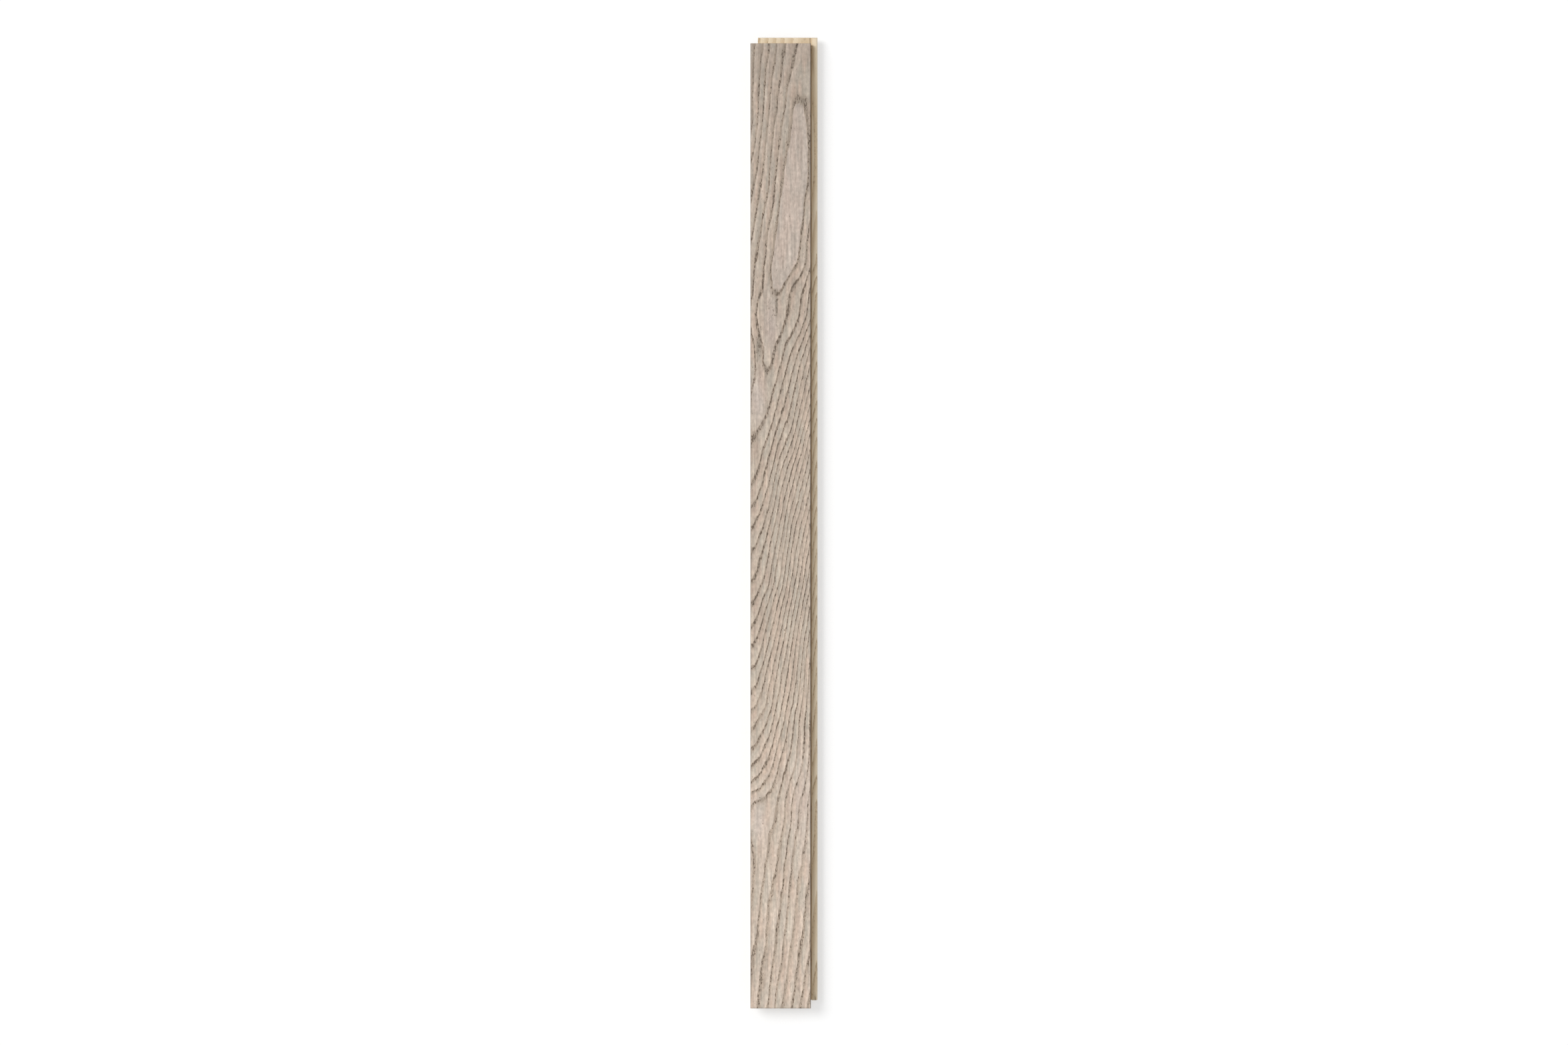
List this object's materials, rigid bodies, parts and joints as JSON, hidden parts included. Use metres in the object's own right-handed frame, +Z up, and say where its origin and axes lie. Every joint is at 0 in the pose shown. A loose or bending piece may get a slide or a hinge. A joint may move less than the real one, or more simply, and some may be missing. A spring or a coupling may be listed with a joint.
{
  "type": "hardwood floorboard",
  "caption": "Solid hardwood strip floorboard, tongued and grooved along its sides and ends, with small bevels on its long edges and a relieved back.",
  "frame": {"origin": "middle of the exposed face's footprint, on the underside that lies on the subfloor", "axes": "+Y along the grain towards the end tongue, +X across the board towards the side tongue, +Z up from the underside to the face"},
  "size_m": [0.0635, 0.9208, 0.0191],
  "materials": {
    "stained_ash": "pale grey-brown stained ash with an open grain, satin lacquer on the face, bare wood on the edges and back"
  },
  "bodies": {
    "root": {"floorboard": "stained_ash"}
  },
  "joints": []
}
